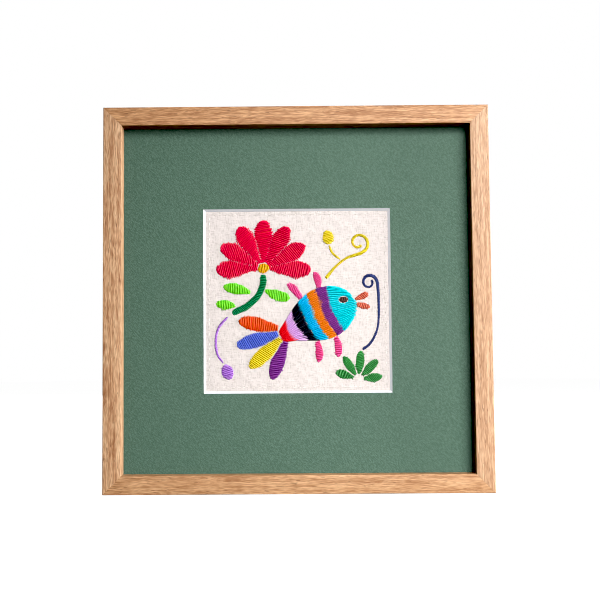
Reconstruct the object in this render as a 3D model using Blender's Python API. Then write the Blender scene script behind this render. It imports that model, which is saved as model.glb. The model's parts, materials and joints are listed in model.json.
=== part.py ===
"""Embroidered picture in a box frame.

The picture stands on its bottom rail and faces -Y, with +Z up. Four mitred rails with a lip and a
rebate hold, from front to back, a window mat with a bevelled opening, a hemmed square of cloth
with its raised satin-stitched fields, and a back board kept in by flat points.
"""
import math

import bmesh
import bpy
import numpy as np
from mathutils import Matrix, Vector

MM = 0.001

# Frame, in metres
SIDE = 250 * MM
DEPTH = 35 * MM
FACE_WIDTH = 12 * MM
LIP_REACH = 5 * MM
LIP_DEPTH = 9.7 * MM
EDGE_RADIUS = 0.5 * MM
EDGE_STEPS = 3
GAP = 0.3 * MM
SMOOTH_ANGLE = math.radians(40)

# Window mat
MAT_THICK = 1.4 * MM
WINDOW_WIDE = 122.6 * MM
WINDOW_HIGH = 120.8 * MM
WINDOW_X = 0.5 * MM
WINDOW_Z = -1.0 * MM

# Cloth
CLOTH_WIDE = 127 * MM
CLOTH_HIGH = 125 * MM
CLOTH_THICK = 1.0 * MM
HEM_WIDE = 7.0 * MM
HEM_THICK = 0.6 * MM
HEM_STEP = 0.5 * MM
WAVE_HEIGHT = 0.1 * MM
WAVE_PITCH = 31 * MM
CLOTH_CELLS = 12

# Stitched fields
STITCH_THICK = 0.7 * MM
STITCH_SHOULDER = 0.35 * MM

# Back board and its points
BOARD_THICK = 3.0 * MM
BOARD_EDGE = 0.4 * MM
POINT_LONG = 13 * MM
POINT_WIDE = 8 * MM
POINT_THICK = 0.8 * MM
POINT_SPREAD = 62 * MM
POINT_ROUND_STEPS = 6

# Layers from the front face to the back, as positions along Y
FRONT = -DEPTH / 2
LIP_BACK = FRONT + LIP_DEPTH
MAT_FRONT = LIP_BACK + GAP
MAT_BACK = MAT_FRONT + MAT_THICK
CLOTH_FRONT = MAT_BACK + GAP + WAVE_HEIGHT
STITCH_BACK = CLOTH_FRONT - WAVE_HEIGHT - GAP
BOARD_FRONT = CLOTH_FRONT + WAVE_HEIGHT + CLOTH_THICK + HEM_THICK + GAP
BOARD_BACK = BOARD_FRONT + BOARD_THICK
REBATE_SIDE = SIDE - 2 * (FACE_WIDTH - LIP_REACH)
PANEL_SIDE = REBATE_SIDE - 2 * GAP

# sRGB colour, roughness and metallic value
FINISHES = {
    "oak": ((214, 170, 128), 0.55, 0.0),
    "mat": ((104, 130, 110), 0.90, 0.0),
    "cloth": ((238, 229, 216), 0.95, 0.0),
    "board": ((176, 148, 116), 0.85, 0.0),
    "steel": ((170, 172, 176), 0.35, 1.0),
    "turquoise": ((18, 204, 216), 0.6, 0.0),
    "brown": ((78, 46, 40), 0.6, 0.0),
    "terracotta": ((200, 98, 74), 0.6, 0.0),
    "purple": ((114, 48, 126), 0.6, 0.0),
    "orange": ((250, 138, 30), 0.6, 0.0),
    "sky": ((20, 182, 234), 0.6, 0.0),
    "black": ((14, 12, 24), 0.6, 0.0),
    "lilac": ((222, 168, 232), 0.6, 0.0),
    "red": ((244, 30, 40), 0.6, 0.0),
    "pink": ((242, 82, 150), 0.6, 0.0),
    "yellow": ((246, 220, 54), 0.6, 0.0),
    "periwinkle": ((78, 98, 196), 0.6, 0.0),
    "vermilion": ((250, 86, 20), 0.6, 0.0),
    "crimson": ((232, 14, 66), 0.6, 0.0),
    "gold": ((248, 184, 20), 0.6, 0.0),
    "pine": ((14, 118, 70), 0.6, 0.0),
    "grass": ((56, 132, 66), 0.6, 0.0),
    "lime": ((114, 216, 46), 0.6, 0.0),
    "navy": ((44, 54, 104), 0.6, 0.0),
    "violet": ((164, 112, 200), 0.6, 0.0),
}

# The design is drawn in millimetres from the middle of the window, u to the right and w upwards.
FIELD_GAP = 0.40
LOBE_STEPS = 7
LOBE_WIDEST = 0.60
RIBBON_PITCH = 2.2
RIBBON_END = 0.6
CURVE_STEPS = 12
ROUND_STEPS = 18
CURL_STEPS = 16

# Fish: its spine runs from the nose to the tail through a bend point
NOSE = (37.5, -1.0)
BEND = (14.0, -8.0)
TAIL_ROOT = (-10.0, -23.5)
BODY_HALF = 16.5
BODY_WIDEST = 0.42
BODY_TAIL_HALF = 4.0
BODY_TAPER = 1.25
BAND_BOW = 0.035
BAND_WAVE = 0.006
TAIL_BOW = 0.022
BAND_STEPS = 7
HEAD_STEPS = 6
BANDS = (
    # name, colour, share of the spine where it ends
    ("head", "turquoise", 0.28),
    ("band_purple", "purple", 0.40),
    ("band_orange", "orange", 0.52),
    ("band_sky", "sky", 0.64),
    ("band_black", "black", 0.76),
    ("band_lilac", "lilac", 0.88),
    ("band_red", "red", 1.00),
)
EYE_SHARE = 0.13
EYE_ACROSS = 0.30
EYE_WIDE = 5.6
EYE_HIGH = 4.2

FINS = (
    # name, colour, share of the spine, side of the body, turn in degrees, length, width, bend in degrees
    ("fin_back_front", "pink", 0.36, 1, 104, 10.5, 5.0, 26),
    ("fin_back_rear", "pink", 0.60, 1, 130, 13.0, 5.0, 30),
    ("fin_belly_front", "pink", 0.42, -1, -80, 13.0, 5.0, -34),
    ("fin_belly_rear", "pink", 0.66, -1, -86, 14.0, 5.0, -34),
)
FIN_ROOT = 2.8

# Lobes that spread from a centre, each one kept clear of its neighbours
HEART = (-22.0, 21.5)
HEART_RADIUS = 3.4
FANS = (
    # name, colours, centre, start radius, turn of the middle, spread, length at middle and ends, width
    ("petal", ("crimson",) * 7, HEART, HEART_RADIUS + FIELD_GAP, 90, 184, 27.5, 27.0, 11.4),
    ("tail", ("purple", "yellow", "periwinkle", "vermilion"), (-5.0, -19.6), 7.9, 209, 80, 28.0, 26.0, 9.2),
    ("tuft", ("grass",) * 5, (39.5, -51.6), 3.4, 84, 156, 15.0, 12.0, 5.6),
)

LOBES = (
    # name, colour, root u, root w, turn in degrees, length, width, bend in degrees
    ("lip_upper", "terracotta", 38.3, 0.7, 26, 9.0, 4.2, 10),
    ("lip_lower", "terracotta", 38.5, -2.5, -14, 9.0, 4.2, -10),
    ("leaf_outer", "lime", -30.6, 5.2, 166, 18.0, 7.2, 14),
    ("leaf_inner", "lime", -21.0, 7.0, -20, 17.0, 7.0, 16),
    ("leaf_low", "lime", -40.6, -3.2, 174, 12.6, 6.2, 10),
)
LOBE_ROOT = 1.8

ROUNDS = (
    # name, colour, centre u, centre w, width, height, turn in degrees
    ("heart", "gold", HEART[0], HEART[1], 2 * HEART_RADIUS, 2 * HEART_RADIUS, 0),
    ("bud_yellow", "yellow", 20.6, 41.6, 7.6, 8.8, 0),
    ("bud_violet", "violet", -46.0, -46.5, 8.0, 9.6, 20),
)

RIBBONS = (
    # name, colour, width, points that the line runs through
    ("stem", "pine", 4.4, ((-22.0, 17.2), (-22.6, 10.5), (-26.0, 3.0), (-33.0, -3.4), (-42.6, -8.0))),
    ("tendril_violet", "violet", 1.6,
     ((-45.6, -10.4), (-51.4, -17.0), (-53.6, -26.0), (-52.4, -35.0), (-48.6, -40.6))),
    ("twig_yellow", "yellow", 1.7, ((28.4, 27.0), (23.4, 31.2), (21.1, 36.4))),
)
CURLS = (
    # name, colour, width, points up to the curl, curl radius at its start and end, turn in degrees
    ("tendril_navy", "navy", 1.7,
     ((42.4, -32.6), (48.0, -27.6), (52.4, -18.0), (53.4, -4.0), (52.8, 12.0)), 5.6, 1.8, 410),
    ("tendril_yellow", "yellow", 1.9,
     ((19.0, 14.4), (24.6, 21.4), (32.6, 27.8), (42.6, 31.0)), 7.2, 2.2, 400),
)


def clear_scene():
    """Start from an empty scene."""
    for thing in list(bpy.data.objects):
        bpy.data.objects.remove(thing, do_unlink=True)


def linear(channel):
    """Linear light value of one sRGB channel given from 0 to 255."""
    value = channel / 255
    return value / 12.92 if value <= 0.04045 else ((value + 0.055) / 1.055) ** 2.4


def finish(name):
    """Principled material of a named finish, made once."""
    if name in bpy.data.materials:
        return bpy.data.materials[name]
    colour, roughness, metallic = FINISHES[name]
    material = bpy.data.materials.new(name)
    material.use_nodes = True
    shader = material.node_tree.nodes["Principled BSDF"]
    shader.inputs["Base Color"].default_value = (*[linear(channel) for channel in colour], 1.0)
    shader.inputs["Roughness"].default_value = roughness
    shader.inputs["Metallic"].default_value = metallic
    return material


def add_object(name, mesh, finish_name, parent):
    """Put a mesh into the scene as a sub-part with its material."""
    thing = bpy.data.objects.new(name, mesh)
    bpy.context.collection.objects.link(thing)
    if not mesh.materials:
        mesh.materials.append(finish(finish_name))
    thing.parent = parent
    return thing


def mesh_from(name, build):
    """Mesh whose faces are made in a bmesh by the given function and turned outwards."""
    work = bmesh.new()
    build(work)
    bmesh.ops.recalc_face_normals(work, faces=work.faces)
    mesh = bpy.data.meshes.new(name)
    work.to_mesh(mesh)
    work.free()
    return mesh


def bridge_rings(work, rings):
    """Join equal closed rings of points into a tube and close its first and last ring."""
    loops = [[work.verts.new(point) for point in ring] for ring in rings]
    for lower, upper in zip(loops, loops[1:]):
        for here in range(len(lower)):
            there = (here + 1) % len(lower)
            work.faces.new((lower[here], lower[there], upper[there], upper[here]))
    work.faces.new(list(reversed(loops[0])))
    work.faces.new(loops[-1])


def corner_arc(centre, start, end):
    """Points of a rounded profile corner, from one angle in degrees to another."""
    angles = np.radians(np.linspace(start, end, EDGE_STEPS + 1))
    return [(centre[0] + EDGE_RADIUS * math.cos(a), centre[1] + EDGE_RADIUS * math.sin(a)) for a in angles]


def rail_profile():
    """Rail section as (inset from the outer side, position along Y), with rounded long edges."""
    near = EDGE_RADIUS
    inner = FACE_WIDTH - EDGE_RADIUS
    wall = FACE_WIDTH - LIP_REACH
    profile = corner_arc((near, FRONT + near), 180, 270)
    profile += corner_arc((inner, FRONT + near), 270, 360)
    profile += [(FACE_WIDTH, LIP_BACK), (wall, LIP_BACK), (wall, -FRONT)]
    profile += corner_arc((near, -FRONT - near), 90, 180)
    return profile


def make_rails(parent):
    """Four equal rails, mitred at 45 degrees with a fine gap in each mitre."""
    mitre_cut = GAP / math.sqrt(2)
    profile = rail_profile()

    def build(work):
        rings = []
        for end in (-1, 1):
            reach = [end * (SIDE / 2 - inset - mitre_cut) for inset, y in profile]
            rings.append([(x, y, inset - SIDE / 2) for x, (inset, y) in zip(reach, profile)])
        bridge_rings(work, rings)

    mesh = mesh_from("rail", build)
    mesh.shade_smooth()
    mesh.set_sharp_from_angle(angle=SMOOTH_ANGLE)
    for quarter, name in enumerate(("rail_bottom", "rail_right", "rail_top", "rail_left")):
        rail = add_object(name, mesh, "oak", parent)
        rail.rotation_euler = (0, -quarter * math.pi / 2, 0)


def rectangle(wide, high, y, middle=(0.0, 0.0)):
    """Corners of an upright rectangle at one depth."""
    return [(middle[0] + u * wide / 2, y, middle[1] + w * high / 2)
            for u, w in ((-1, -1), (1, -1), (1, 1), (-1, 1))]


def make_mat(parent):
    """Square board with an off-centre window whose edge is cut at 45 degrees."""
    middle = (WINDOW_X, WINDOW_Z)

    def build(work):
        rings = [
            rectangle(WINDOW_WIDE, WINDOW_HIGH, MAT_FRONT, middle),
            rectangle(PANEL_SIDE, PANEL_SIDE, MAT_FRONT),
            rectangle(PANEL_SIDE, PANEL_SIDE, MAT_BACK),
            rectangle(WINDOW_WIDE - 2 * MAT_THICK, WINDOW_HIGH - 2 * MAT_THICK, MAT_BACK, middle),
        ]
        loops = [[work.verts.new(point) for point in ring] for ring in rings]
        for ring, following in zip(loops, loops[1:] + loops[:1]):
            for here in range(4):
                there = (here + 1) % 4
                work.faces.new((ring[here], ring[there], following[there], following[here]))

    add_object("mat", mesh_from("mat", build), "mat", parent)


def cloth_lines(size):
    """Grid lines across the cloth, with close ones where the hem ends."""
    half = size / 2
    inner = half - HEM_WIDE
    middle = np.linspace(-inner + HEM_STEP, inner - HEM_STEP, CLOTH_CELLS)
    return [-half, -inner, *middle, inner, half]


def make_cloth(parent):
    """Hemmed square of cloth with a faint unevenness, thicker behind where the hem is turned."""
    columns = cloth_lines(CLOTH_WIDE)
    rows = cloth_lines(CLOTH_HIGH)

    def front(x, z):
        wave = math.sin(math.tau * x / WAVE_PITCH) * math.cos(math.tau * z / WAVE_PITCH)
        return CLOTH_FRONT + WAVE_HEIGHT * wave

    def thickness(column, row):
        in_hem = not (1 < column < len(columns) - 2 and 1 < row < len(rows) - 2)
        return CLOTH_THICK + (HEM_THICK if in_hem else 0.0)

    def build(work):
        faces = []
        for layer in (0, 1):
            grid = []
            for column, x in enumerate(columns):
                line = []
                for row, z in enumerate(rows):
                    y = front(x, z) + layer * thickness(column, row)
                    line.append(work.verts.new((x + WINDOW_X, y, z + WINDOW_Z)))
                grid.append(line)
            faces.append(grid)
        for grid in faces:
            for column in range(len(columns) - 1):
                for row in range(len(rows) - 1):
                    work.faces.new((grid[column][row], grid[column + 1][row],
                                    grid[column + 1][row + 1], grid[column][row + 1]))
        rims = [rim(grid) for grid in faces]
        for here in range(len(rims[0])):
            there = (here + 1) % len(rims[0])
            work.faces.new((rims[0][here], rims[0][there], rims[1][there], rims[1][here]))

    def rim(grid):
        down = [line[0] for line in grid]
        up = [line[-1] for line in grid]
        return down + grid[-1][1:-1] + up[::-1] + grid[0][-2:0:-1]

    mesh = mesh_from("cloth", build)
    mesh.shade_smooth()
    mesh.set_sharp_from_angle(angle=SMOOTH_ANGLE)
    add_object("cloth", mesh, "cloth", parent)


def make_board(parent):
    """Plain back board with its edges eased."""
    def build(work):
        bridge_rings(work, [rectangle(PANEL_SIDE, PANEL_SIDE, y) for y in (BOARD_FRONT, BOARD_BACK)])

    board = add_object("back_board", mesh_from("back_board", build), "board", parent)
    eased = board.modifiers.new("eased edges", "BEVEL")
    eased.width = BOARD_EDGE


def make_points(parent):
    """Flat steel points, two to a side, that hold the back board in the rebate."""
    half = POINT_WIDE / 2
    reach = POINT_LONG - half
    angles = np.linspace(0, math.pi, POINT_ROUND_STEPS + 1)
    tongue = [(-half, 0.0), *[(-half * math.cos(a), reach + half * math.sin(a)) for a in angles], (half, 0.0)]
    root = GAP - REBATE_SIDE / 2

    def build(work):
        layers = (BOARD_BACK + GAP, BOARD_BACK + GAP + POINT_THICK)
        bridge_rings(work, [[(x, y, root + z) for x, z in tongue] for y in layers])

    mesh = mesh_from("point", build)
    for quarter, side in enumerate(("bottom", "right", "top", "left")):
        for offset, place in ((-POINT_SPREAD, "a"), (POINT_SPREAD, "b")):
            turned = Matrix.Rotation(-quarter * math.pi / 2, 4, "Y")
            point = add_object(f"point_{side}_{place}", mesh, "steel", parent)
            point.location = turned @ Vector((offset, 0, 0))
            point.rotation_euler = turned.to_euler()


def unit(vectors):
    """Vectors scaled to length one."""
    return vectors / np.maximum(np.linalg.norm(vectors, axis=1, keepdims=True), 1e-9)


def turned_left(vectors):
    """Vectors turned a quarter turn to the left."""
    return np.column_stack((-vectors[:, 1], vectors[:, 0]))


def drawn_in(outline, distance):
    """Closed outline moved inwards by an even distance; it runs anticlockwise."""
    arriving = turned_left(unit(outline - np.roll(outline, 1, axis=0)))
    leaving = turned_left(unit(np.roll(outline, -1, axis=0) - outline))
    turn = 1 + np.sum(arriving * leaving, axis=1, keepdims=True)
    return outline + (arriving + leaving) * distance / np.maximum(turn, 0.5)


def anticlockwise(outline):
    """Outline as an array that runs anticlockwise."""
    points = np.array(outline, dtype=float)
    following = np.roll(points, -1, axis=0)
    area = np.sum(points[:, 0] * following[:, 1] - points[:, 1] * following[:, 0])
    return points if area > 0 else points[::-1]


def stitched_field(name, colour, outline, parent):
    """Closed pad of one thread colour, with sloping shoulders, just in front of the cloth."""
    edge = anticlockwise(outline) * MM
    top = drawn_in(edge, STITCH_SHOULDER)

    def build(work):
        rings = [[(u, 0.0, w) for u, w in edge], [(u, -STITCH_THICK, w) for u, w in top]]
        bridge_rings(work, rings)

    pad = add_object(name, mesh_from(name, build), colour, parent)
    pad.location = (WINDOW_X, STITCH_BACK, WINDOW_Z)
    return pad


def lobe(root, turn, length, width, root_width, bend=0.0, wedge=None):
    """Outline that is narrow at its root, widest past its middle and round at its tip.

    A wedge, given as the distance of its corner behind the root and its half angle in degrees,
    keeps the lobe clear of its neighbours in a fan.
    """
    rise = np.linspace(0, LOBE_WIDEST, LOBE_STEPS, endpoint=False)
    fall = LOBE_WIDEST + (1 - LOBE_WIDEST) * np.sin(np.linspace(0, math.pi / 2, LOBE_STEPS))
    share = np.concatenate((rise, fall))
    swell = np.sin(math.pi / 2 * np.minimum(share / LOBE_WIDEST, 1))
    past = np.maximum(share - LOBE_WIDEST, 0) / (1 - LOBE_WIDEST)
    half = (root_width + (width - root_width) * swell) / 2 * np.sqrt(np.maximum(1 - past ** 2, 0))
    if wedge:
        corner, half_angle = wedge
        room = (corner + share * length) * math.sin(math.radians(half_angle)) - FIELD_GAP / 2
        half = np.minimum(half, room)
    heading = np.radians(turn + bend * (share - 0.5))
    ahead = np.column_stack((np.cos(heading), np.sin(heading)))
    steps = np.diff(share, prepend=0)[:, None] * length
    spine = np.array(root) + np.cumsum(ahead * steps, axis=0)
    side = turned_left(ahead) * half[:, None]
    return np.concatenate((spine + side, (spine - side)[-2::-1]))


def ellipse(centre, wide, high, turn=0.0):
    """Outline of an ellipse."""
    angles = np.linspace(0, 2 * math.pi, ROUND_STEPS, endpoint=False)
    u = wide / 2 * np.cos(angles)
    w = high / 2 * np.sin(angles)
    cos, sin = math.cos(math.radians(turn)), math.sin(math.radians(turn))
    return np.column_stack((centre[0] + u * cos - w * sin, centre[1] + u * sin + w * cos))


def smooth_line(points):
    """Even points on a smooth curve through the given ones."""
    knots = np.array(points, dtype=float)
    knots = np.vstack((2 * knots[0] - knots[1], knots, 2 * knots[-1] - knots[-2]))
    fine = []
    for a, b, c, d in zip(knots, knots[1:], knots[2:], knots[3:]):
        for t in np.linspace(0, 1, CURVE_STEPS, endpoint=False):
            fine.append(0.5 * (2 * b + (c - a) * t + (2 * a - 5 * b + 4 * c - d) * t * t
                               + (3 * b - a - 3 * c + d) * t ** 3))
    fine = np.array(fine + [knots[-2]])
    walked = np.concatenate(([0], np.cumsum(np.linalg.norm(np.diff(fine, axis=0), axis=1))))
    marks = np.linspace(0, walked[-1], max(3, round(walked[-1] / RIBBON_PITCH) + 1))
    return np.column_stack([np.interp(marks, walked, fine[:, axis]) for axis in (0, 1)])


def curl_line(points, start_radius, end_radius, sweep):
    """Smooth line whose end winds up to the left into a spiral."""
    line = smooth_line(points)
    ahead = line[-1] - line[-2]
    heading = math.atan2(ahead[1], ahead[0])
    centre = line[-1] + start_radius * np.array((-math.sin(heading), math.cos(heading)))
    share = np.linspace(0, 1, CURL_STEPS + 1)[1:]
    radius = start_radius + (end_radius - start_radius) * share
    angle = heading - math.pi / 2 + math.radians(sweep) * share
    return np.vstack((line, centre + np.column_stack((radius * np.cos(angle), radius * np.sin(angle)))))


def ribbon(line, width):
    """Outline of even width along a line, with softened ends."""
    ahead = unit(np.gradient(line, axis=0))
    half = np.full(len(line), width / 2)
    half[[0, -1]] *= RIBBON_END
    side = turned_left(ahead) * half[:, None]
    return np.concatenate((line + side, (line - side)[::-1]))


def spine_point(share, across):
    """Point of the fish: a share of the way from nose to tail, and -1 to 1 across its body."""
    nose, bend, tail = (np.array(point) for point in (NOSE, BEND, TAIL_ROOT))
    middle = nose * (1 - share) ** 2 + 2 * bend * share * (1 - share) + tail * share ** 2
    ahead = 2 * (bend - nose) * (1 - share) + 2 * (tail - bend) * share
    side = np.array((ahead[1], -ahead[0])) / np.linalg.norm(ahead)
    if share < BODY_WIDEST:
        half = BODY_HALF * math.sqrt(max(0.0, 1 - ((BODY_WIDEST - share) / BODY_WIDEST) ** 2))
    else:
        fall = max(0.0, math.cos(math.pi / 2 * (share - BODY_WIDEST) / (1 - BODY_WIDEST))) ** BODY_TAPER
        half = BODY_TAIL_HALF + (BODY_HALF - BODY_TAIL_HALF) * fall
    return middle + side * half * across


def band_seam(share, number, across):
    """Share of the spine where a bowed and slightly uneven seam between two bands lies."""
    if share >= 1:
        return share + TAIL_BOW * (1 - across ** 2)
    return share + BAND_BOW * (1 - across ** 2) + BAND_WAVE * math.sin(4 * across + number)


def band_outline(order, start, end):
    """Outline of one body band, or of the head where the band starts at the nose."""
    clear = FIELD_GAP / np.linalg.norm(np.array(NOSE) - np.array(TAIL_ROOT))
    across = np.linspace(-1, 1, BAND_STEPS)
    far = [spine_point(band_seam(end, order + 1, v) - clear, v) for v in across]
    if start == 0:
        rounding = (1 - np.cos(np.linspace(0, math.pi / 2, HEAD_STEPS + 1))) * end
        lower = [spine_point(share, -1) for share in rounding[1:-1]]
        upper = [spine_point(share, 1) for share in rounding[1:-1]]
        return np.array([spine_point(0, 0), *lower, *far, *upper[::-1]])
    near = [spine_point(band_seam(start, order, v), v) for v in across]
    middle = (start + end) / 2
    return np.array([*near, spine_point(middle, 1), *far[::-1], spine_point(middle, -1)])


def cut_hole(field, outline):
    """Cut an upright hole through a stitched field."""
    def build(work):
        bridge_rings(work, [[(u, y, w) for u, w in outline] for y in (STITCH_THICK, -2 * STITCH_THICK)])

    cutter = bpy.data.objects.new(field.name + "_cutter", mesh_from("cutter", build))
    bpy.context.collection.objects.link(cutter)
    cutter.parent = field
    cutter.hide_render = True
    cutter.display_type = "WIRE"
    cut = field.modifiers.new("hole", "BOOLEAN")
    cut.operation = "DIFFERENCE"
    cut.object = cutter


def make_fish(parent):
    """Head with the eye set in it, body bands from nose to tail, and the fins."""
    start = 0
    for order, (name, colour, end) in enumerate(BANDS):
        band = stitched_field(name, colour, band_outline(order, start, end), parent)
        if start == 0:
            eye = spine_point(EYE_SHARE, EYE_ACROSS)
            cut_hole(band, ellipse(eye, EYE_WIDE + 2 * FIELD_GAP, EYE_HIGH + 2 * FIELD_GAP) * MM)
            stitched_field("eye", "brown", ellipse(eye, EYE_WIDE, EYE_HIGH), parent)
        start = end
    for name, colour, share, side, turn, length, width, bend in FINS:
        heading = math.radians(turn - bend / 2)
        root = spine_point(share, side) + 2 * FIELD_GAP * np.array((math.cos(heading), math.sin(heading)))
        stitched_field(name, colour, lobe(root, turn, length, width, FIN_ROOT, bend), parent)


def make_fans(parent):
    """Petals of the blossom, lobes of the fish's tail and blades of the tuft."""
    for name, colours, centre, radius, middle, spread, long_middle, long_end, width in FANS:
        half_angle = spread / (len(colours) - 1) / 2
        for number, colour in enumerate(colours):
            place = 2 * number / (len(colours) - 1) - 1
            turn = middle - place * spread / 2
            away = np.array((math.cos(math.radians(turn)), math.sin(math.radians(turn))))
            length = long_end + (long_middle - long_end) * (1 - place ** 2)
            root = np.array(centre) + away * radius
            outline = lobe(root, turn, length, width, width, wedge=(radius, half_angle))
            stitched_field(f"{name}_{number + 1}", colour, outline, parent)


def make_embroidery(parent):
    """Every stitched field of the design."""
    make_fish(parent)
    make_fans(parent)
    for name, colour, u, w, turn, length, width, bend in LOBES:
        stitched_field(name, colour, lobe((u, w), turn, length, width, LOBE_ROOT, bend), parent)
    for name, colour, u, w, wide, high, turn in ROUNDS:
        stitched_field(name, colour, ellipse((u, w), wide, high, turn), parent)
    for name, colour, width, points in RIBBONS:
        stitched_field(name, colour, ribbon(smooth_line(points), width), parent)
    for name, colour, width, points, start_radius, end_radius, sweep in CURLS:
        line = curl_line(points, start_radius, end_radius, sweep)
        stitched_field(name, colour, ribbon(line, width), parent)


def main():
    clear_scene()
    centre = bpy.data.objects.new("picture_centre", None)
    bpy.context.collection.objects.link(centre)
    centre.location = (0, 0, SIDE / 2)
    make_rails(centre)
    make_mat(centre)
    make_cloth(centre)
    make_embroidery(centre)
    make_board(centre)
    make_points(centre)


main()
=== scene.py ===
"""Looks of the embroidered picture in a box frame.

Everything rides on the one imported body. The rails, the mat, the cloth and each stitched field are
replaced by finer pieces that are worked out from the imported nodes: oak rails with tight mitres, a
mat with its white core showing at the bevel, a woven cloth that lies in soft waves and creases, and
separate satin stitches laid side by side across each field. The hem's running stitches are added,
and the back board and its points keep their solids. Sizes are in metres; the picture faces -Y.
"""
import json
import math

import bmesh
import bpy
import numpy as np
from mathutils import Matrix, Vector


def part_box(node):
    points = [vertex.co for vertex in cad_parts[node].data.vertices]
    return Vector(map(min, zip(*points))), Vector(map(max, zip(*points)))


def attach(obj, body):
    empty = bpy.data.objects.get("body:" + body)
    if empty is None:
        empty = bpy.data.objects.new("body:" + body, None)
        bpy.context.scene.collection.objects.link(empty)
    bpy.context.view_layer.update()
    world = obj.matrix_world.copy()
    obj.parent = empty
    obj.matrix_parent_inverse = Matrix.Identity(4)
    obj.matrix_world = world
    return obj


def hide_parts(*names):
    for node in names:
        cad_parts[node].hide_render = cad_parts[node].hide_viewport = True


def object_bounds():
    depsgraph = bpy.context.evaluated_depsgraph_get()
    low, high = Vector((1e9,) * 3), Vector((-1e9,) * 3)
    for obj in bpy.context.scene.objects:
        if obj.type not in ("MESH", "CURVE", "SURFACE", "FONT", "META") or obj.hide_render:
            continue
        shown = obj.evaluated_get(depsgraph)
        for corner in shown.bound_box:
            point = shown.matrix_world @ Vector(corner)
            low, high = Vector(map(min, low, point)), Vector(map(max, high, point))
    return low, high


MM = 0.001
BODY = "root"
SEED = 20

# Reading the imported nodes: how near a plane counts as on it, the digits that tell points apart,
# and the area below which two lines count as parallel
PLANE_TOLERANCE = 0.05 * MM
POINT_DIGITS = 6
PARALLEL_AREA = 1e-15

# Camera: its place from the middle of the picture's front, how it is turned, and its lens
CAMERA_SIDE = -19.8 * MM
CAMERA_BACK = 550 * MM
CAMERA_RISE = -42.2 * MM
CAMERA_PITCH = math.radians(3.05)
CAMERA_YAW = math.radians(-0.284)
CAMERA_ROLL = math.radians(-0.386)
CAMERA_LENS = 51.53
CAMERA_SHIFT = (0.0631, 0.0301)
CAMERA_NEAR = 10 * MM

# Film: the level that shows as black, and the width of a pixel's filter
FILM_BLACK = 0.022
FILM_FILTER = 1.0

# Light: the window's direction from the picture's middle, the point it faces as seen from there,
# its spread, and the strength of the light from all round
WINDOW_AZIMUTH = math.radians(28.5)
WINDOW_ELEVATION = math.radians(15.5)
WINDOW_AIM = Vector((0.29, 0, -0.20))
WINDOW_SPREAD = math.radians(90)
ROOM_LIGHT = 0.055
STAGE_RADIUS = 4.0

# Rails: the face, the lip over the mat, rounded edges, and the gaps at the mat and in the mitres
FACE_WIDTH = 12 * MM
LIP_REACH = 5 * MM
EDGE_RADIUS = 0.5 * MM
EDGE_STEPS = 6
REBATE_GAP = 0.3 * MM
MITRE_GAP = 0.03 * MM
SMOOTH_ANGLE = math.radians(35)

# Oak of each rail, anticlockwise from the bottom one: pale, middle and dark tones in sRGB
RAIL_TONES = {
    "rail_bottom": ((234, 187, 142), (203, 153, 110), (162, 112, 73)),
    "rail_right": ((224, 184, 147), (196, 152, 116), (164, 119, 85)),
    "rail_top": ((236, 185, 137), (198, 145, 101), (156, 104, 66)),
    "rail_left": ((246, 208, 166), (218, 167, 126), (160, 107, 71)),
}

# Cloth: the sheet, how far behind its solid's front it rests, its turned hem and its weave
CLOTH_THICK = 0.9 * MM
CLOTH_CELL = 1.0 * MM
CLOTH_SINK = 0.05 * MM
HEM_WIDE = 7.0 * MM
HEM_THICK = 0.6 * MM
WEAVE_PITCH = 0.72 * MM
WEAVE_STRAY = 0.7 * MM

# Lie of the cloth between stitched fields: a puff, broad waves and slanting creases. A bend gives
# the length and the strength of the slower wave that sways another one.
PUFF_HEIGHT = 0.16 * MM
PUFF_REACH = 3.0 * MM
WAVE_HEIGHT = 0.10 * MM
WAVE_ACROSS = 29 * MM
WAVE_ACROSS_BEND = (47 * MM, 1.1)
WAVE_UP = 37 * MM
WAVE_UP_BEND = (53 * MM, 0.8)
CREASE_HEIGHT = 0.10 * MM
CREASE_STEP = 10.5 * MM
CREASE_SLANT = 0.45
CREASE_BEND = (41 * MM, 2.2)
CREASE_BEND_SLANT = 0.4

# Running stitches of the hem: distance from the mat's edge, length, step, thread and rise, how
# far they sink into the cloth, then how uneven they are, and their colour in sRGB
HEM_SEAM = 2.2 * MM
HEM_STITCH = 1.9 * MM
HEM_STEP = 3.3 * MM
HEM_THREAD = 0.45 * MM
HEM_RISE = 0.34 * MM
HEM_SUNK = 0.08 * MM
HEM_SLIP = 0.20 * MM
HEM_STRAY = 0.12 * MM
HEM_LENGTHS = (0.80, 1.15)
HEM_COLOUR = (247, 240, 232)

# One strand of thread: its height, its ends, and its section from the crown down to each side
STITCH_FOOT = 0.12 * MM
STITCH_RISE = 1.0 * MM
STITCH_CROWN = 0.08 * MM
SHOULDER = 1.3 * MM
END_HEIGHT = 0.22
END_WIDTH = 0.38
END_TAPER = 0.75 * MM
RINGS = 9
STRAND_STEPS = 10
STRAND_SKIRT = 1.35
STRAND_VALLEY = 0.92
STRAND_CREST = 1.7
STRAND_BOW = 0.006
STRAND_SHARP = math.radians(60)
PADDING_SHARE = 0.5

# A row of strands across a field: how it is laid out, then the spread of places, ends and heights
SIDE_STEPS = 24
LONG_SIDE_SHARE = 0.65
FEWEST_STRANDS = 3
NARROWEST_FIELD = 0.4 * MM
SHORTEST_STITCH = 0.5 * MM
STITCH_JITTER = 0.08
STRAND_LEAST = 0.55
STRAND_MOST = 2.0
WIDTH_SPREAD = (0.96, 1.10)
END_UNEVEN = 0.30 * MM
WANDER_SPAN = 4
WANDER_SHARE = 0.40
RISE_SHORT = 0.55
RISE_SPAN = 8 * MM
RISE_UNEVEN = 0.03 * MM

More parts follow.
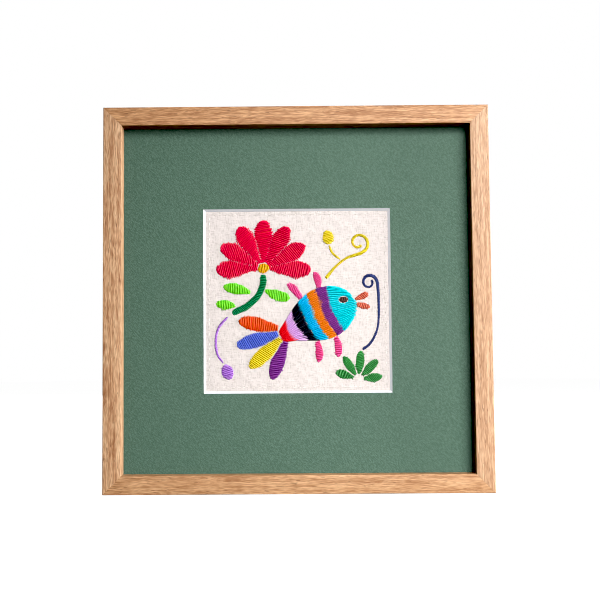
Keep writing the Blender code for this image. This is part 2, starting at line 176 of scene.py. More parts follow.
# Thread colours: gain and limit of the darkest and of the lightest strand, what a weak channel
# gains on the strongest, and the least share of a channel that is left in the painted shade between strands
STRAND_SHADE = (1.30, 0.95)
STRAND_LIGHT = (1.85, 0.99)
WEAK_GAIN = 0.15
VALLEY_SHADE_LEAST = 0.08

# Family of a field, or plain: pitch in millimetres, lean as a share of the width, reach past the
# foot's outline in millimetres, unevenness of the ends
STITCHES = {
    "plain": (1.22, 0.20, 0.20, 1.0),
    "head": (1.25, 0.20, 0.95, 1.5),
    "petal": (1.25, 0.30, 0.75, 1.2),
    "tail": (1.25, 0.35, 0.35, 1.1),
    "tuft": (1.10, 0.50, 0.15, 1.0),
    "leaf": (1.20, 0.30, 0.20, 1.0),
    "band": (1.25, 0.10, 1.20, 1.8),
    "tendril": (1.05, 1.05, -0.05, 0.3),
    "twig": (1.05, 1.05, -0.05, 0.3),
    "stem": (1.15, 0.25, 0.10, 0.8),
}

rng = np.random.RandomState(SEED)


def add_node(tree, kind, settings=None, **inputs):
    """Add a shader node; inputs are values or other nodes' outputs, with _ for a space in a name."""
    node = tree.nodes.new(kind)
    for key, value in (settings or {}).items():
        setattr(node, key, value)
    for name, value in inputs.items():
        socket = node.inputs[int(name[1:]) if name[1:].isdigit() else name.replace("_", " ")]
        if isinstance(value, bpy.types.NodeSocket):
            tree.links.new(value, socket)
        else:
            socket.default_value = value
    return node


def new_material(name, **sockets):
    """Principled material with plain socket values; returns it with its tree and shader."""
    material = bpy.data.materials.new(name)
    material.use_nodes = True
    shader = material.node_tree.nodes["Principled BSDF"]
    for socket, value in sockets.items():
        shader.inputs[socket.replace("_", " ")].default_value = value
    return material, material.node_tree, shader


def linear(red, green, blue):
    """Linear colour with alpha from sRGB values of 0 to 255."""
    def channel(value):
        value /= 255
        return value / 12.92 if value <= 0.04045 else ((value + 0.055) / 1.055) ** 2.4
    return (channel(red), channel(green), channel(blue), 1.0)


def combine(tree, operation, first, second):
    """Result of a sum or a product of two values."""
    return add_node(tree, "ShaderNodeMath", {"operation": operation}, _0=first, _1=second).outputs[0]


def ramp(tree, factor, *stops):
    """Colour ramp node's colour; a stop is a position and a colour."""
    node = add_node(tree, "ShaderNodeValToRGB", Fac=factor)
    elements = node.color_ramp.elements
    while len(elements) < len(stops):
        elements.new(0.5)
    for element, (position, colour) in zip(elements, stops):
        element.position = position
        element.color = colour
    return node.outputs["Color"]


def span(tree, value, low, high, new_low=0.0, new_high=1.0):
    """A value moved from one range to another."""
    node = add_node(tree, "ShaderNodeMapRange", Value=value, From_Min=low, From_Max=high,
                    To_Min=new_low, To_Max=new_high)
    return node.outputs["Result"]


def under(tree, value, full, none, share):
    """Mixing share that holds up to one value and falls to nothing at a higher one."""
    return span(tree, value, full, none, share, 0.0)


def over(tree, value, none, full, share):
    """Mixing share that rises from nothing at one value and is whole at a higher one."""
    return span(tree, value, none, full, 0.0, share)


def mix(tree, factor, first, second):
    """Mix of two colours."""
    node = add_node(tree, "ShaderNodeMix", {"data_type": "RGBA"}, _0=factor, _6=first, _7=second)
    return node.outputs[2]


def stretched(tree, scale, turn, move):
    """Object coordinates in metres, moved, turned and then scaled."""
    place = add_node(tree, "ShaderNodeTexCoord")
    turned = add_node(tree, "ShaderNodeMapping", Vector=place.outputs["Object"], Location=move,
                      Rotation=turn)
    scaled = add_node(tree, "ShaderNodeMapping", Vector=turned.outputs["Vector"], Scale=scale)
    return scaled.outputs["Vector"]


def noise_at(tree, vector, detail, rough=0.5, distort=0.0):
    """Noise value from 0 to 1 at scaled coordinates."""
    node = add_node(tree, "ShaderNodeTexNoise", Vector=vector, Scale=1.0, Detail=detail,
                    Roughness=rough, Distortion=distort)
    return node.outputs["Fac"]


def noise(tree, scale, detail, rough=0.5, distort=0.0, turn=(0.0, 0.0, 0.0), move=(0.0, 0.0, 0.0)):
    """Noise value from 0 to 1, with about as many grains to a metre along X, Y and Z as scale says."""
    return noise_at(tree, stretched(tree, scale, turn, move), detail, rough, distort)


def add_bump(tree, shader, height, distance):
    """Bump on a shader from a height value."""
    node = add_node(tree, "ShaderNodeBump", Height=height, Distance=distance, Strength=1.0)
    tree.links.new(node.outputs["Normal"], shader.inputs["Normal"])


def oak(name, pale, middle, dark, turn, move):
    """Light oak whose figure runs along X, or along Z where it is turned."""
    material, tree, shader = new_material(name, Specular_IOR_Level=0.40)
    grain = (0.0, turn, 0.0)
    pores_apart = (0.3, 0.2, 0.1)
    broad = noise(tree, (30, 200, 200), 5.0, rough=0.65, distort=2.5, turn=grain, move=move)
    streak = noise(tree, (22, 640, 640), 3.0, rough=0.6, distort=0.8, turn=grain, move=move)
    fibre = noise(tree, (170, 2400, 2400), 1.0, turn=grain, move=move)
    pore = noise(tree, (200, 1100, 1100), 1.0, turn=grain, move=pores_apart)
    body = ramp(tree, broad, (0.36, dark), (0.50, middle), (0.64, pale))
    streaked = ramp(tree, streak, (0.38, dark), (0.50, middle), (0.62, pale))
    deep = tuple(channel * 0.50 for channel in dark[:3]) + (1.0,)
    wood = mix(tree, 0.50, body, streaked)
    wood = mix(tree, under(tree, fibre, 0.36, 0.52, 0.58), wood, dark)
    wood = mix(tree, over(tree, fibre, 0.54, 0.68, 0.50), wood, pale)
    wood = mix(tree, over(tree, pore, 0.65, 0.74, 0.60), wood, deep)
    tree.links.new(wood, shader.inputs["Base Color"])
    tree.links.new(span(tree, streak, 0.3, 0.7, 0.58, 0.42), shader.inputs["Roughness"])
    add_bump(tree, shader, combine(tree, "ADD", streak, fibre), 0.12 * MM)
    return material


def mat_paper():
    """Green paper with a faint laid ripple that runs aslant."""
    material, tree, shader = new_material("mat_paper", Roughness=0.70, Specular_IOR_Level=0.40)
    aslant = (0.0, math.radians(45), 0.0)
    deep, bright = linear(79, 106, 89), linear(98, 126, 109)
    fleck, bloom = linear(68, 95, 80), linear(99, 127, 113)
    ripple = noise(tree, (1500, 1500, 700), 0.0, turn=aslant)
    fine = noise(tree, (2600, 2600, 2600), 0.0)
    cloud = noise(tree, (26, 26, 26), 3.0)
    green = mix(tree, span(tree, ripple, 0.30, 0.64), deep, bright)
    green = mix(tree, under(tree, fine, 0.40, 0.55, 0.50), green, fleck)
    green = mix(tree, over(tree, cloud, 0.3, 0.7, 0.08), green, bloom)
    tree.links.new(green, shader.inputs["Base Color"])
    add_bump(tree, shader, combine(tree, "ADD", ripple, fine), 0.07 * MM)
    return material


def mat_core_painted_glow():
    """White pulp of the mat board, seen at the bevel, with a faint blue painted glow that stands in for
    light bounced onto the bevel.
    """
    # Painted glow: a faint blue emission that brightens the bevel as bounced light would
    material, tree, shader = new_material("mat_core_painted_glow", Roughness=0.9, Specular_IOR_Level=0.2,
                                          Emission_Color=(0.88, 0.90, 1.0, 1.0),
                                          Emission_Strength=0.09)
    grey, white = linear(238, 239, 244), linear(252, 252, 253)
    pulp = noise(tree, (1300, 1300, 1300), 3.0, rough=0.6)
    tree.links.new(mix(tree, span(tree, pulp, 0.35, 0.7), grey, white), shader.inputs["Base Color"])
    add_bump(tree, shader, pulp, 0.05 * MM)
    return material


def weave_material():
    """Cream plain weave with thicker and thinner threads both ways, and painted shade in its hollows and on
    its low nubs.
    """
    material, tree, shader = new_material("woven_cotton", Roughness=0.92, Sheen_Weight=0.25,
                                          Sheen_Roughness=0.5, Specular_IOR_Level=0.2)
    thin, thick = linear(235, 225, 220), linear(244, 234, 230)
    # Colours of the painted shade in the weave's hollows and on its low nubs
    hollow_shade, shadow = linear(206, 194, 185), linear(194, 182, 174)
    place = add_node(tree, "ShaderNodeTexCoord").outputs["Object"]
    sway = add_node(tree, "ShaderNodeTexNoise", Vector=place, Scale=90.0, Detail=2.0)
    swayed = add_node(tree, "ShaderNodeVectorMath", {"operation": "MULTIPLY_ADD"},
                      _0=sway.outputs["Color"], _1=(WEAVE_STRAY,) * 3, _2=place).outputs[0]
    parts = add_node(tree, "ShaderNodeSeparateXYZ", Vector=swayed)
    waves, slubs = [], []
    for axis, slub_scale in (("X", (700, 1, 40)), ("Z", (40, 1, 700))):
        turns = combine(tree, "MULTIPLY", parts.outputs[axis], math.tau / WEAVE_PITCH)
        wave = add_node(tree, "ShaderNodeMath", {"operation": "SINE"}, _0=turns).outputs[0]
        slub = noise(tree, slub_scale, 2.0, rough=0.6)
        waves.append(combine(tree, "MULTIPLY", wave, span(tree, slub, 0.3, 0.7, 0.5, 1.0)))
        slubs.append(slub)
    woven = combine(tree, "MULTIPLY", *waves)
    nub = combine(tree, "ADD", noise(tree, (300, 1500, 1500), 1.0), noise(tree, (1500, 1500, 300), 1.0))
    cream = mix(tree, span(tree, combine(tree, "ADD", *slubs), 0.7, 1.3), thin, thick)
    # Painted shade in the hollows of the weave and on its low nubs, where the bump is lowest
    cream = mix(tree, under(tree, woven, -0.8, 0.2, 0.30), cream, hollow_shade)
    cream = mix(tree, under(tree, nub, 0.80, 0.98, 0.42), cream, shadow)
    tree.links.new(cream, shader.inputs["Base Color"])
    add_bump(tree, shader, combine(tree, "ADD", nub, woven), 0.08 * MM)
    return material


def lifted(colour, gain, limit):
    """A colour made brighter in its own hue, as far as its strongest channel allows."""
    strongest = max(colour)
    gain = min(gain, limit / strongest)
    return tuple(gain * channel * (1 + WEAK_GAIN * (1 - channel / strongest))
                 for channel in colour) + (1.0,)


def thread_material(name, colour):
    """Stranded thread of one colour, each strand lighter or darker, with painted shade at its sides that is
    darker and purer in hue.
    """
    material, tree, shader = new_material(name, Roughness=0.42, Specular_IOR_Level=0.40)
    strongest = max(colour)
    shade = lifted(colour, *STRAND_SHADE)
    light = lifted(colour, *STRAND_LIGHT)
    # Colour of the painted shade between strands, which keeps most of the strongest channel
    valley_shade = tuple(channel * (VALLEY_SHADE_LEAST + (1 - VALLEY_SHADE_LEAST) * channel / strongest)
                   for channel in colour) + (1.0,)
    island = add_node(tree, "ShaderNodeNewGeometry").outputs["Random Per Island"]
    lie = add_node(tree, "ShaderNodeUVMap", {"uv_map": "thread"}).outputs["UV"]
    along = add_node(tree, "ShaderNodeMapping", Vector=lie, Scale=(300, 3, 1)).outputs["Vector"]
    ply = noise_at(tree, along, 2.0, rough=0.6)
    across = add_node(tree, "ShaderNodeSeparateXYZ", Vector=lie).outputs["Y"]
    from_crown = add_node(tree, "ShaderNodeMath", {"operation": "ABSOLUTE"}, _0=across).outputs[0]
    tone = mix(tree, island, shade, light)
    tone = mix(tree, under(tree, ply, 0.35, 0.65, 0.30), tone, shade)
    # Painted shade: the colour darkens towards each strand's sides, where neighbouring strands meet
    tone = mix(tree, over(tree, from_crown, 0.40, 0.90, 0.95), tone, valley_shade)
    tree.links.new(tone, shader.inputs["Base Color"])
    add_bump(tree, shader, ply, 0.05 * MM)
    return material


def board_material():
    """Brown fibreboard."""
    material, tree, shader = new_material("fibreboard", Roughness=0.8, Specular_IOR_Level=0.25)
    dull, warm = linear(158, 126, 92), linear(182, 150, 112)
    bark, chip = linear(112, 84, 58), linear(206, 178, 142)
    speck = noise(tree, (1100, 1100, 1100), 3.0, rough=0.7)
    cloud = noise(tree, (30, 30, 30), 4.0, rough=0.6)
    brown = mix(tree, span(tree, cloud, 0.3, 0.7), dull, warm)
    brown = mix(tree, under(tree, speck, 0.30, 0.48, 0.55), brown, bark)
    brown = mix(tree, over(tree, speck, 0.56, 0.70, 0.50), brown, chip)
    tree.links.new(brown, shader.inputs["Base Color"])
    add_bump(tree, shader, speck, 0.10 * MM)
    return material


def steel_material():
    """Satin steel with fine scratches."""
    material, tree, shader = new_material("satin_steel", Metallic=1.0)
    scratch = noise(tree, (4000, 400, 400), 2.0, rough=0.6)
    grey = mix(tree, scratch, linear(150, 152, 156), linear(196, 198, 202))
    tree.links.new(grey, shader.inputs["Base Color"])
    tree.links.new(span(tree, scratch, 0.3, 0.7, 0.28, 0.45), shader.inputs["Roughness"])
    return material


def add_piece(name, mesh, slot, *nodes):
    """Put a mesh into the scene as a piece that rides on the body and stands for some nodes."""
    piece = bpy.data.objects.new(name, mesh)
    bpy.context.collection.objects.link(piece)
    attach(piece, BODY)
    if nodes:
        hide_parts(*nodes)
    return piece


def mesh_of(name, vertices, faces):
    """Closed mesh from points and faces, with its faces turned outwards."""
    mesh = bpy.data.meshes.new(name)
    mesh.from_pydata([tuple(vertex) for vertex in vertices], [], [tuple(face) for face in faces])
    mesh.update()
    work = bmesh.new()
    work.from_mesh(mesh)
    bmesh.ops.recalc_face_normals(work, faces=work.faces)
    work.to_mesh(mesh)
    work.free()
    return mesh


def smooth(mesh, angle=SMOOTH_ANGLE):
    """Shade a mesh smooth, apart from edges sharper than an angle."""
    mesh.shade_smooth()
    mesh.set_sharp_from_angle(angle=angle)


def corner_arc(centre, start, end):
    """Points of a rounded profile corner, from one angle in degrees to another."""
    angles = np.radians(np.linspace(start, end, EDGE_STEPS + 1))
    return [(centre[0] + EDGE_RADIUS * math.cos(angle), centre[1] + EDGE_RADIUS * math.sin(angle))
            for angle in angles]


def rail_profile(front, back, lip_back):
    """Rail section as (inset from the outer side, position along Y)."""
    near = EDGE_RADIUS
    inner = FACE_WIDTH - EDGE_RADIUS
    wall = FACE_WIDTH - LIP_REACH
    return [*corner_arc((near, front + near), 180, 270), *corner_arc((inner, front + near), 270, 360),
            (FACE_WIDTH, lip_back), (wall, lip_back), (wall, back),
            *corner_arc((near, back - near), 90, 180)]


def make_rails():
    """Four rails with tight mitres, each in its own piece of oak."""
    low, high = cad_box
    side = high.x - low.x
    middle = Vector((0, 0, (low.z + high.z) / 2))
    profile = rail_profile(low.y, high.y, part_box("mat")[0].y - REBATE_GAP)
    vertices = [(end * (side / 2 - inset - MITRE_GAP), y, inset - side / 2)
                for end in (-1, 1) for inset, y in profile]
    count = len(profile)
    faces = []
    for here in range(count):
        there = (here + 1) % count
        faces.append((here, there, count + there, count + here))
    faces += [tuple(range(count - 1, -1, -1)), tuple(range(count, 2 * count))]
    for quarter, (name, tones) in enumerate(RAIL_TONES.items()):
        mesh = mesh_of(name, vertices, faces)
        mesh.transform(Matrix.Translation(middle) @ Matrix.Rotation(-quarter * math.pi / 2, 4, "Y"))
        turn = math.pi / 2 if quarter % 2 else 0.0
        place_in_log = (0.31 * quarter, 0.17, 0.07 * quarter)
        colours = [linear(*tone) for tone in tones]
        mesh.materials.append(oak(f"oak_{name}", *colours, turn, place_in_log))
        smooth(mesh)
        add_piece(f"{name}_oak", mesh, "oak", name)


def mat_rings():
    """Rings of the mat's window and outer edge, each as left, bottom, right, top and place along Y."""
    low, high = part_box("mat")
    points = np.array([vertex.co for vertex in frame["nodes"]["mat"].data.vertices])
    rings = {}
    for layer, y in (("front", low.y), ("back", high.y)):
        flat = points[np.abs(points[:, 1] - y) < PLANE_TOLERANCE]
        inside = flat[np.abs(flat[:, 0]) < high.x - PLANE_TOLERANCE]
        for kind, ring in (("window", inside), ("edge", flat)):
            rings[f"{layer}_{kind}"] = (ring[:, 0].min(), ring[:, 2].min(),
                                        ring[:, 0].max(), ring[:, 2].max(), y)
    return rings


def make_mat():
    """Mat board: green paper on the front, white core at the bevelled window, edges and back."""
    points, corners = [], {}
    for name, (left, bottom, right, top, y) in mat_rings().items():
        corners[name] = range(len(points), len(points) + 4)
        points += [(left, y, bottom), (right, y, bottom), (right, y, top), (left, y, top)]
    order = ("front_window", "front_edge", "back_edge", "back_window", "front_window")
    faces = []
    for first, second in zip(order, order[1:]):
        for here in range(4):
            there = (here + 1) % 4
            faces.append((corners[first][here], corners[second][here],
                          corners[second][there], corners[first][there]))
    mesh = mesh_of("mat", points, faces)
    mesh.materials.append(mat_paper())
    mesh.materials.append(mat_core_painted_glow())
    # The first four faces, between the front's window and its edge, are the paper
    for face in mesh.polygons[4:]:
        face.material_index = 1
    add_piece("mat_board_faced", mesh, "mat_board", "mat")


def field_loops(node):
    """Closed outlines of a stitched field's foot, as arrays of x and z, the longest first."""
    mesh = node.data
    points = [vertex.co for vertex in mesh.vertices]
    foot = max(point.y for point in points) - PLANE_TOLERANCE
    directed = set()
    for face in mesh.polygons:
        corners = [points[index] for index in face.vertices]
        if all(corner.y > foot for corner in corners):
            keys = [(round(corner.x, POINT_DIGITS), round(corner.z, POINT_DIGITS)) for corner in corners]
            directed.update(zip(keys, keys[1:] + keys[:1]))
    following = {here: there for here, there in directed if (there, here) not in directed}
    loops = []
    while following:
        start = min(following)
        loop = [start]
        here = following.pop(start)
        while here != start:
            loop.append(here)
            here = following.pop(here)
        loops.append(np.array(loop))
    return sorted(loops, key=lambda loop: -np.linalg.norm(np.diff(loop, axis=0), axis=1).sum())


def walk(line, shares):
    """Points at the given shares of a line's length."""
    steps = np.concatenate(([0], np.cumsum(np.linalg.norm(np.diff(line, axis=0), axis=1))))
    marks = np.clip(shares, 0, 1) * steps[-1]
    return np.column_stack([np.interp(marks, steps, line[:, axis]) for axis in (0, 1)])


def fold(outline):
    """The two long sides of an outline, found by the fold that lays them closest together."""
    count = len(outline)
    shares = np.linspace(0, 1, SIDE_STEPS)
    best = None
    for start in range(count):
        for skip in (0, 1):
            steps = np.arange((count - skip) // 2 + 1)
            one = outline[(start + steps) % count]
            two = outline[(start - skip - steps) % count]
            apart = np.linalg.norm(walk(one, shares) - walk(two, shares), axis=1).mean()
            if best is None or apart < best[0]:
                best = (apart, one, two)
    return best[1:]


def crossings(start, end, loop):
    """Shares of a straight way from start to end at which it meets a closed outline."""
    way = end - start
    found = []
    for corner, following in zip(loop, np.roll(loop, -1, axis=0)):
        edge = following - corner
        area = way[0] * edge[1] - way[1] * edge[0]
        if abs(area) < PARALLEL_AREA:
            continue
        apart = corner - start
        along_way = (apart[0] * edge[1] - apart[1] * edge[0]) / area
        along_edge = (apart[0] * way[1] - apart[1] * way[0]) / area
        if 0 <= along_edge < 1 and 0 < along_way < 1:
            found.append(along_way)
    return sorted(found)


def within(x, z, loop):
    """Whether points lie inside a closed outline, by the edges that a line along X crosses."""
    inside = np.zeros(x.shape, bool)
    for (x0, z0), (x1, z1) in zip(loop, np.roll(loop, -1, axis=0)):
        if z0 != z1:
            inside ^= ((z0 > z) != (z1 > z)) & (x < x0 + (z - z0) / (z1 - z0) * (x1 - x0))
    return inside


def strand(start, end, widths, rise, base):
    """Points, faces and thread coordinates of one stitch, with its width at the start and the end."""
    length = np.linalg.norm(end - start)
    share = (1 - np.cos(np.linspace(0, math.pi, RINGS))) / 2
    ahead = (end - start) / length
    side = np.array((-ahead[1], ahead[0]))
    bow = rng.normal(0, STRAND_BOW) * length
    middle = start + np.outer(share, end - start) + np.outer(4 * share * (1 - share) * bow, side)
    shoulder = min(SHOULDER, length / 2)
    from_end = np.minimum(share, 1 - share) * length
    lift = np.sqrt(np.clip(1 - (1 - np.minimum(from_end / shoulder, 1)) ** 2, 0, 1))
    height = rise * (END_HEIGHT + (1 - END_HEIGHT) * lift) + STITCH_CROWN * np.sin(math.pi * share)
    taper = END_WIDTH + (1 - END_WIDTH) * np.minimum(from_end / END_TAPER, 1)
    half = np.interp(share, (0, 1), widths) / 2 * taper
    across = np.linspace(-1, 1, STRAND_STEPS + 1)
    drop = STRAND_VALLEY * np.abs(across) ** STRAND_CREST
    across = np.concatenate(([-STRAND_SKIRT], across, [STRAND_SKIRT]))
    drop = np.concatenate(([0], drop, [0]))
    points = []
    for (x, z), tall, reach in zip(middle, height, half):
        y = base - tall * (1 - drop)
        y[[0, -1]] = base
        points.append(np.column_stack((x + side[0] * reach * across, y, z + side[1] * reach * across)))
    columns = len(across)
    faces = []
    for ring in range(0, (RINGS - 1) * columns, columns):
        for here in range(columns):
            there = (here + 1) % columns
            faces.append((ring + here, ring + there, ring + columns + there, ring + columns + here))
    faces.append(tuple(range(columns - 1, -1, -1)))
    faces.append(tuple(range((RINGS - 1) * columns, RINGS * columns)))
    lie = np.array([(along * length, place) for along in share for place in across])
    return np.concatenate(points), faces, lie


def padding(node):
    """The field's own pad, pressed lower, that shows as shade between the strands above it."""
    points = np.array([vertex.co for vertex in node.data.vertices])
    foot = points[:, 1].max()
    points[:, 1] = cloth_rest + STITCH_FOOT - (foot - points[:, 1]) * PADDING_SHARE
    return points, [tuple(face.vertices) for face in node.data.polygons], np.ones((len(points), 2))


def add_stitches(name, slot, material, parts, *nodes):
    """Piece made of many strands, each given as points, faces and thread coordinates."""
    vertices, faces, lie = [], [], []
    start = 0
    for points, quads, flat in parts:
        vertices.append(points)
        faces += [tuple(start + corner for corner in face) for face in quads]
        lie.append(flat)
        start += len(points)
    mesh = mesh_of(name, np.concatenate(vertices), faces)
    lie = np.concatenate(lie)
    layer = mesh.uv_layers.new(name="thread")
    corner = np.zeros(len(mesh.loops), np.int32)
    mesh.loops.foreach_get("vertex_index", corner)
    layer.data.foreach_set("uv", lie[corner].astype(np.float32).ravel())
    mesh.materials.append(material)
    smooth(mesh, STRAND_SHARP)
    add_piece(name, mesh, slot, *nodes)


def spacing(points):
    """Distance from each point to its neighbours along a row, averaged over both."""
    steps = np.linalg.norm(np.diff(points, axis=0), axis=1)
    return (np.concatenate((steps[:1], steps)) + np.concatenate((steps, steps[-1:]))) / 2


def wander(count):
    """Slow random drift along a row, from a running sum of random steps."""
    steps = rng.normal(0, WANDER_SHARE, count + WANDER_SPAN - 1)
    return np.convolve(steps, np.ones(WANDER_SPAN), "valid")


def satin(node, pitch, lean, reach, uneven):
    """Strands laid side by side across a field, leaning by a share of its width."""
    outer, *holes = field_loops(node)
    one, two = fold(outer)
    sides = sorted(np.linalg.norm(np.diff(line, axis=0), axis=1).sum() for line in (one, two))
    length = sides[0] + LONG_SIDE_SHARE * (sides[1] - sides[0])
    count = max(FEWEST_STRANDS, round(length / pitch))
    shares = (np.arange(count) + 0.5) / count
    settle = np.sqrt(np.sin(math.pi * shares))
    width = np.linalg.norm(walk(one, shares) - walk(two, shares), axis=1).mean()
    offset = lean * width / length * settle / 2
    jitter = rng.normal(0, STITCH_JITTER, (2, count)) * pitch / length
    starts = walk(one, shares - offset + jitter[0])
    ends = walk(two, shares + offset + jitter[1])
    drift = wander(count), wander(count)
    strands = []
    for start, end, *wide, early, late in zip(starts, ends, spacing(starts), spacing(ends), *drift):
        gap = np.linalg.norm(end - start)
        if gap < NARROWEST_FIELD:
            continue
        wide = np.clip(wide, STRAND_LEAST * pitch, STRAND_MOST * pitch)
        ahead = (end - start) / gap
        start = start - ahead * (reach + (rng.uniform(-1, 1) + early) * uneven * END_UNEVEN)
        end = end + ahead * (reach + (rng.uniform(-1, 1) + late) * uneven * END_UNEVEN)
        rise = STITCH_RISE * min(1.0, RISE_SHORT + gap / RISE_SPAN) + rng.normal(0, RISE_UNEVEN)
        stops = [0.0, *[stop for hole in holes for stop in crossings(start, end, hole)], 1.0]
        for near, far in zip(stops[::2], stops[1::2]):
            if (far - near) * gap > SHORTEST_STITCH:
                widths = np.interp((near, far), (0, 1), wide) * rng.uniform(*WIDTH_SPREAD)
                way = end - start
                strands.append((start + way * near, start + way * far, widths, rise))
    return strands


def make_embroidery():
    """Satin stitches in place of each stitched field."""
    for sub in stitched:
        name, slot = sub["node"], sub["material_slot"]
        family = name.rsplit("_", 1)[0]
        pitch, lean, reach, uneven = STITCHES.get(family, STITCHES["plain"])
        node = frame["nodes"][name]
        strands = [strand(*stitch, cloth_rest + STITCH_FOOT)
                   for stitch in satin(node, pitch * MM, lean, reach * MM, uneven)]
        add_stitches(f"{name}_stitches", slot, threads[slot], [padding(node), *strands], name)


def make_hem():
    """Running stitches of the hem, short and tonal, all round inside the mat's window."""
    left, bottom, right, top, _ = mat_rings()["back_window"]
    corners = [(left + HEM_SEAM, bottom + HEM_SEAM), (right - HEM_SEAM, bottom + HEM_SEAM),
               (right - HEM_SEAM, top - HEM_SEAM), (left + HEM_SEAM, top - HEM_SEAM)]
    strands = []
    for here, there in zip(corners, corners[1:] + corners[:1]):
        here, there = np.array(here), np.array(there)
        length = np.linalg.norm(there - here)
        ahead = (there - here) / length
        side = np.array((-ahead[1], ahead[0]))
        for along in np.arange(HEM_STEP / 2, length - HEM_STITCH, HEM_STEP):
            start = here + ahead * (along + rng.normal(0, HEM_SLIP)) + side * rng.normal(0, HEM_STRAY)
            reach = ahead * HEM_STITCH * rng.uniform(*HEM_LENGTHS) + side * rng.normal(0, HEM_STRAY)
            middle = start + reach / 2
            base = cloth_front(middle[:1], middle[1:])[0] + HEM_SUNK
            strands.append(strand(start, start + reach, (HEM_THREAD, HEM_THREAD), HEM_RISE, base))
    cream_thread = thread_material("hem_thread", linear(*HEM_COLOUR)[:3])
    add_stitches("hem_running_stitches", "cloth", cream_thread, strands)


def phase(place, length, across, bend):
    """Phase of a wave along one way, swayed by a slower wave along another."""
    bend_length, strength = bend
    return math.tau * place / length + strength * np.sin(math.tau * across / bend_length)


def cloth_front(x, z):
    """Position along Y of the cloth's front, which puffs out a little between stitched fields."""
    wave = np.sin(phase(x, WAVE_ACROSS, z, WAVE_ACROSS_BEND)) * np.cos(phase(z, WAVE_UP, x, WAVE_UP_BEND))
    crease = np.sin(phase(x + CREASE_SLANT * z, CREASE_STEP, z - CREASE_BEND_SLANT * x, CREASE_BEND))
    near = np.full(x.shape, 1.0)
    for loop in stitched_loops:
        for point_x, point_z in loop:
            near = np.minimum(near, (x - point_x) ** 2 + (z - point_z) ** 2)
        near[within(x, z, loop)] = 0.0
    puff = 1 - np.exp(-np.sqrt(near) / PUFF_REACH)
    return (cloth_rest - WAVE_HEIGHT * (1 + wave) / 2 - PUFF_HEIGHT * puff
            - CREASE_HEIGHT * (1 + crease) / 2 * puff)


def make_cloth():
    """Hemmed sheet, thicker behind where the hem is turned."""
    low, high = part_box("cloth")
    columns = round((high.x - low.x) / CLOTH_CELL) + 1
    rows = round((high.z - low.z) / CLOTH_CELL) + 1
    x, z = np.meshgrid(np.linspace(low.x, high.x, columns), np.linspace(low.z, high.z, rows), indexing="ij")
    front = cloth_front(x, z)
    edge = np.minimum(np.minimum(x - low.x, high.x - x), np.minimum(z - low.z, high.z - z))
    back = front + CLOTH_THICK + HEM_THICK * (edge < HEM_WIDE)
    vertices = np.concatenate([np.column_stack((x.ravel(), y.ravel(), z.ravel())) for y in (front, back)])
    index = np.arange(columns * rows).reshape(columns, rows)
    behind = index + columns * rows
    faces = []
    for grid in (index, behind):
        quads = np.stack((grid[:-1, :-1], grid[1:, :-1], grid[1:, 1:], grid[:-1, 1:]), axis=-1)
        faces += [tuple(quad) for quad in quads.reshape(-1, 4).tolist()]
    rim = np.concatenate((index[:, 0], index[-1, 1:], index[-2::-1, -1], index[0, -2:0:-1])).tolist()
    for here, there in zip(rim, rim[1:] + rim[:1]):
        faces.append((here, there, there + columns * rows, here + columns * rows))
    mesh = mesh_of("cloth", vertices, faces)
    mesh.materials.append(weave_material())
    smooth(mesh)
    return add_piece("cloth_sheet", mesh, "cloth", "cloth")


def finish_back():
    """Fibreboard and steel on the back board and its points, which keep their solids."""
    frame["nodes"]["back_board"].material_slots[0].material = board_material()
    steel = steel_material()
    for name, node in frame["nodes"].items():
        if name.startswith("point_"):
            node.material_slots[0].material = steel


def add_stage(name, shape, pale, glow, **settings):
    """Matt, glowing surface that is seen but doesn't light the picture."""
    work = bmesh.new()
    shape(work, radius=STAGE_RADIUS, **settings)
    mesh = bpy.data.meshes.new(name)
    work.to_mesh(mesh)
    work.free()
    material = new_material(name, Base_Color=(pale, pale, pale, 1), Roughness=0.9, Specular_IOR_Level=0.0,
                            Emission_Color=(1, 1, 1, 1), Emission_Strength=glow)[0]
    mesh.materials.append(material)
    thing = bpy.data.objects.new(name, mesh)
    bpy.context.collection.objects.link(thing)
    thing.visible_diffuse = False
    thing.visible_glossy = False
    return thing


def make_stage():
    """Pale floor, which takes a little shadow, and a bright surround."""
    add_stage("floor", bmesh.ops.create_circle, pale=0.30, glow=0.97, cap_ends=True, segments=96)
    surround = add_stage("surround", bmesh.ops.create_uvsphere, pale=0.0, glow=1.0, u_segments=48,
                         v_segments=24)
    surround.visible_shadow = False


def add_light(name, place, aim, size, watts):
    """Soft light, a rectangle that faces a point."""
    data = bpy.data.lights.new(name, "AREA")
    data.shape = "RECTANGLE"
    data.size, data.size_y = size
    data.energy = watts
    light = bpy.data.objects.new(name, data)
    bpy.context.collection.objects.link(light)
    light.location = place
    light.rotation_euler = (Vector(aim) - Vector(place)).to_track_quat("-Z", "Y").to_euler()
    return light


def make_lights():
    """A large window to the front, right and above, one at the side, a light behind, a little fill."""
    low, high = cad_box
    middle = (low + high) / 2
    towards = Vector((math.sin(WINDOW_AZIMUTH) * math.cos(WINDOW_ELEVATION),
                      -math.cos(WINDOW_AZIMUTH) * math.cos(WINDOW_ELEVATION),
                      math.sin(WINDOW_ELEVATION)))
    window = add_light("window", middle + towards, middle + WINDOW_AIM, size=(0.77, 0.68), watts=5.1)
    window.data.spread = WINDOW_SPREAD
    add_light("side_window", (1.5, -0.22, 0.30), middle, size=(0.25, 0.50), watts=26.0)
    add_light("back_fill", (0.1, 1.5, 0.7), middle, size=(2.6, 1.4), watts=62.0)
    world = bpy.data.worlds.new("room")
    bpy.context.scene.world = world
    world.use_nodes = True
    background = world.node_tree.nodes["Background"]
    background.inputs["Color"].default_value = (1, 1, 1, 1)
    background.inputs["Strength"].default_value = ROOM_LIGHT


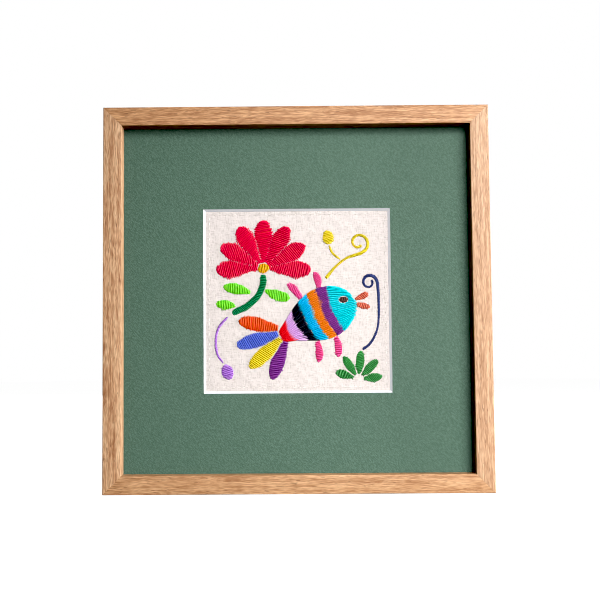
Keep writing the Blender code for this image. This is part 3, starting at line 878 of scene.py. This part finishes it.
def make_camera():
    """Camera at the photograph's angle, turned about its own upright, level and sight lines."""
    low, high = cad_box
    data = bpy.data.cameras.new("camera")
    data.lens = CAMERA_LENS
    data.shift_x, data.shift_y = CAMERA_SHIFT
    data.clip_start = CAMERA_NEAR
    camera = bpy.data.objects.new("camera", data)
    bpy.context.collection.objects.link(camera)
    camera.location = (CAMERA_SIDE, low.y - CAMERA_BACK, (low.z + high.z) / 2 + CAMERA_RISE)
    turn = (Matrix.Rotation(-CAMERA_YAW, 4, "Z") @ Matrix.Rotation(math.pi / 2 + CAMERA_PITCH, 4, "X")
            @ Matrix.Rotation(CAMERA_ROLL, 4, "Z"))
    camera.rotation_euler = turn.to_euler()
    bpy.context.scene.camera = camera


def set_film():
    """Sharp pixels, no light passed between surfaces, and a raised black level."""
    scene = bpy.context.scene
    scene.cycles.diffuse_bounces = 0
    scene.cycles.filter_width = FILM_FILTER
    scene.view_settings.view_transform = "Standard"
    scene.view_settings.use_curve_mapping = True
    scene.view_settings.curve_mapping.black_level = (FILM_BLACK,) * 3


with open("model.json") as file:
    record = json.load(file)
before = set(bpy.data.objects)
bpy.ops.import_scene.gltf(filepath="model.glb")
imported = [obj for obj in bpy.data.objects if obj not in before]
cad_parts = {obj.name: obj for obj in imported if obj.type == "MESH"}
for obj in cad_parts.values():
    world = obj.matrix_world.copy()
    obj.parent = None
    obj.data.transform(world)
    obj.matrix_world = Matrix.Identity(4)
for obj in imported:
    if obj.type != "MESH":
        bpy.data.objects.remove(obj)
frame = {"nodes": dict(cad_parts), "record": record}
cad_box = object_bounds()
cloth_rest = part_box("cloth")[0].y + CLOTH_SINK
threads = {finish["slot"]: thread_material(finish["slot"], finish["base_color"])
           for finish in frame["record"]["materials"] if finish["slot"].startswith("thread_")}
stitched = [sub for sub in frame["record"]["subparts"] if sub["material_slot"].startswith("thread_")]
stitched_loops = [field_loops(frame["nodes"][sub["node"]])[0] for sub in stitched]
make_camera()
make_rails()
make_mat()
cloth = make_cloth()
make_embroidery()
make_hem()
finish_back()
make_stage()
make_lights()
set_film()
